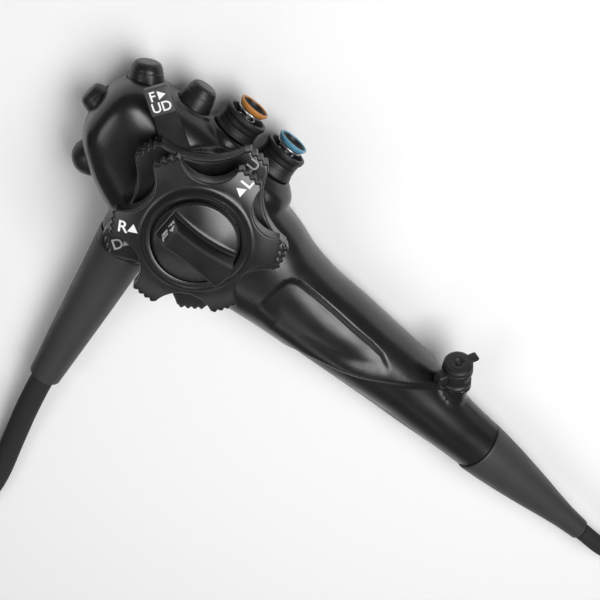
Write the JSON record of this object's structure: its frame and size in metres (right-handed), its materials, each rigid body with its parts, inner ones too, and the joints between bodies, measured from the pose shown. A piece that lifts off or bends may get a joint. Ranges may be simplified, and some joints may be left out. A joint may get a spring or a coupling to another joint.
{
  "type": "flexible endoscope",
  "caption": "Handheld control section of a flexible endoscope with lobed angulation knobs, valve buttons, remote switches, an instrument port and two flexible cords.",
  "frame": {"origin": "on the axis of the angulation knobs, in the plane of the flat back that the part lies on", "axes": "+Z along the knob axis away from the back; +X along the grip towards the insertion tube; +Y towards the two valve buttons"},
  "size_m": [0.471, 0.3065, 0.0797],
  "materials": {
    "black_moulding": "smooth semi-gloss black moulding",
    "black_rubber": "black rubber, soft sheen",
    "grey_boot_rubber": "matt dark grey rubber",
    "tube_skin": "smooth black polymer skin over a flexible tube",
    "steel": "fine brushed stainless steel",
    "frame_alloy": "milled aluminium",
    "dark_metal": "black anodised metal",
    "orange_cap": "orange moulded cap",
    "blue_cap": "light blue moulded cap",
    "lens_glass": "polished lens"
  },
  "bodies": {
    "housing": {"head_cover": "black_moulding", "grip_cover": "black_moulding", "bearing_flange": "dark_metal", "chassis_plate": "frame_alloy", "shaft_frame": "frame_alloy", "centre_post": "steel", "suction_cylinder": "dark_metal", "suction_rim": "black_rubber", "air_water_cylinder": "dark_metal", "air_water_rim": "black_rubber", "channel_inlet": "steel", "biopsy_valve": "black_rubber", "end_sleeve": "frame_alloy", "insertion_boot": "grey_boot_rubber", "cord_nut": "dark_metal", "cord_sleeve": "dark_metal", "cord_boot": "grey_boot_rubber", "insertion_tube": "tube_skin", "insertion_tube_coil": "tube_skin", "insertion_tube_end": "tube_skin", "bend_base": "dark_metal", "light_guide_cord": "tube_skin", "light_guide_cord_coil": "tube_skin", "light_guide_cord_end": "tube_skin", "connector_boot": "black_rubber", "connector_body": "black_moulding", "light_guide_rod": "steel", "air_pipe": "steel", "signal_socket": "black_rubber"},
    "ud_lever": {"ud_lock_lever": "black_moulding"},
    "ud_knob": {"ud_wheel": "black_moulding", "ud_shaft": "steel", "ud_drum": "frame_alloy"},
    "rl_knob": {"rl_wheel": "black_moulding", "rl_shaft": "steel", "rl_drum": "frame_alloy"},
    "rl_lock": {"rl_lock_knob": "black_moulding"},
    "suction_button": {"suction_cap": "orange_cap", "suction_piston": "steel", "suction_spring": "steel"},
    "air_water_button": {"air_water_cap": "blue_cap", "air_water_piston": "steel", "air_water_spring": "steel"},
    "front_button": {"front_switch": "black_rubber"},
    "corner_button": {"corner_switch": "black_rubber"},
    "end_button": {"end_switch": "black_rubber"},
    "thumb_button": {"thumb_switch": "black_rubber"},
    "port_lid": {"biopsy_lid": "black_rubber"},
    "bend_1": {"bend_link_1": "black_rubber"},
    "bend_2": {"bend_link_2": "black_rubber"},
    "bend_3": {"bend_link_3": "black_rubber"},
    "bend_4": {"bend_link_4": "black_rubber"},
    "bend_5": {"bend_link_5": "black_rubber"},
    "bend_6": {"bend_link_6": "black_rubber"},
    "bend_7": {"bend_link_7": "black_rubber"},
    "bend_8": {"bend_link_8": "black_rubber"},
    "bend_9": {"bend_link_9": "black_rubber", "distal_tip": "dark_metal", "objective_lens": "lens_glass", "light_lens": "lens_glass"}
  },
  "joints": [
    {"name": "ud_turn", "type": "hinge", "parent": "housing", "child": "ud_knob", "pos_m": [0, 0, 0.0437], "axis": [0, 0, 1], "range_deg": [-65, 150]},
    {"name": "rl_turn", "type": "hinge", "parent": "housing", "child": "rl_knob", "pos_m": [0, 0, 0.0569], "axis": [0, 0, 1], "range_deg": [-75, 75]},
    {"name": "ud_lock_turn", "type": "hinge", "parent": "housing", "child": "ud_lever", "pos_m": [0, 0, 0.041], "axis": [0, 0, 1], "range_deg": [0, 40]},
    {"name": "rl_lock_turn", "type": "hinge", "parent": "housing", "child": "rl_lock", "pos_m": [0, 0, 0.0652], "axis": [0, 0, 1], "range_deg": [0, 90]},
    {"name": "suction_press", "type": "slide", "parent": "housing", "child": "suction_button", "axis": [0, -1, 0], "range_m": [0, 0.004], "stiffness_N_per_m": 350, "springref_m": -0.004},
    {"name": "air_water_press", "type": "slide", "parent": "housing", "child": "air_water_button", "axis": [0, -1, 0], "range_m": [0, 0.004], "stiffness_N_per_m": 350, "springref_m": -0.004},
    {"name": "front_press", "type": "slide", "parent": "housing", "child": "front_button", "axis": [0.0872, -0.9962, 0], "range_m": [0, 0.0012], "stiffness_N_per_m": 900, "springref_m": -0.001},
    {"name": "corner_press", "type": "slide", "parent": "housing", "child": "corner_button", "axis": [0.4848, -0.8746, 0], "range_m": [0, 0.0012], "stiffness_N_per_m": 900, "springref_m": -0.001},
    {"name": "end_press", "type": "slide", "parent": "housing", "child": "end_button", "axis": [0.9945, -0.1045, 0], "range_m": [0, 0.0012], "stiffness_N_per_m": 900, "springref_m": -0.001},
    {"name": "thumb_press", "type": "slide", "parent": "housing", "child": "thumb_button", "axis": [0.6561, 0.7547, 0], "range_m": [0, 0.0012], "stiffness_N_per_m": 900, "springref_m": -0.001},
    {"name": "lid_swing", "type": "hinge", "parent": "housing", "child": "port_lid", "pos_m": [0.12361, 0.00651, 0.03259], "axis": [0.5777, -0.0287, 0.8157], "range_deg": [0, 130]},
    {"name": "bend_hinge_1", "type": "hinge", "parent": "housing", "child": "bend_1", "pos_m": [0.258, 0.06, 0.0046], "axis": [0, 0, 1], "range_deg": [-35.1, 15.3]},
    {"name": "bend_hinge_2", "type": "hinge", "parent": "bend_1", "child": "bend_2", "pos_m": [0.2508, 0.06, 0.0046], "axis": [0, 1, 0], "range_deg": [-33.4, 33.4]},
    {"name": "bend_hinge_3", "type": "hinge", "parent": "bend_2", "child": "bend_3", "pos_m": [0.2436, 0.06, 0.0046], "axis": [0, 0, 1], "range_deg": [-35.1, 15.3]},
    {"name": "bend_hinge_4", "type": "hinge", "parent": "bend_3", "child": "bend_4", "pos_m": [0.2364, 0.06, 0.0046], "axis": [0, 0, 1], "range_deg": [-35.1, 15.3]},
    {"name": "bend_hinge_5", "type": "hinge", "parent": "bend_4", "child": "bend_5", "pos_m": [0.2292, 0.06, 0.0046], "axis": [0, 1, 0], "range_deg": [-33.4, 33.4]},
    {"name": "bend_hinge_6", "type": "hinge", "parent": "bend_5", "child": "bend_6", "pos_m": [0.222, 0.06, 0.0046], "axis": [0, 0, 1], "range_deg": [-35.1, 15.3]},
    {"name": "bend_hinge_7", "type": "hinge", "parent": "bend_6", "child": "bend_7", "pos_m": [0.2148, 0.06, 0.0046], "axis": [0, 0, 1], "range_deg": [-35.1, 15.3]},
    {"name": "bend_hinge_8", "type": "hinge", "parent": "bend_7", "child": "bend_8", "pos_m": [0.2076, 0.06, 0.0046], "axis": [0, 1, 0], "range_deg": [-33.4, 33.4]},
    {"name": "bend_hinge_9", "type": "hinge", "parent": "bend_8", "child": "bend_9", "pos_m": [0.2004, 0.06, 0.0046], "axis": [0, 0, 1], "range_deg": [-35.1, 15.3]}
  ],
  "couplings": [
    {"joint": "bend_hinge_1", "follows": "ud_turn", "ratio": -0.2333},
    {"joint": "bend_hinge_2", "follows": "rl_turn", "ratio": 0.4444},
    {"joint": "bend_hinge_3", "follows": "ud_turn", "ratio": -0.2333},
    {"joint": "bend_hinge_4", "follows": "ud_turn", "ratio": -0.2333},
    {"joint": "bend_hinge_5", "follows": "rl_turn", "ratio": 0.4444},
    {"joint": "bend_hinge_6", "follows": "ud_turn", "ratio": -0.2333},
    {"joint": "bend_hinge_7", "follows": "ud_turn", "ratio": -0.2333},
    {"joint": "bend_hinge_8", "follows": "rl_turn", "ratio": 0.4444},
    {"joint": "bend_hinge_9", "follows": "ud_turn", "ratio": -0.2333}
  ]
}
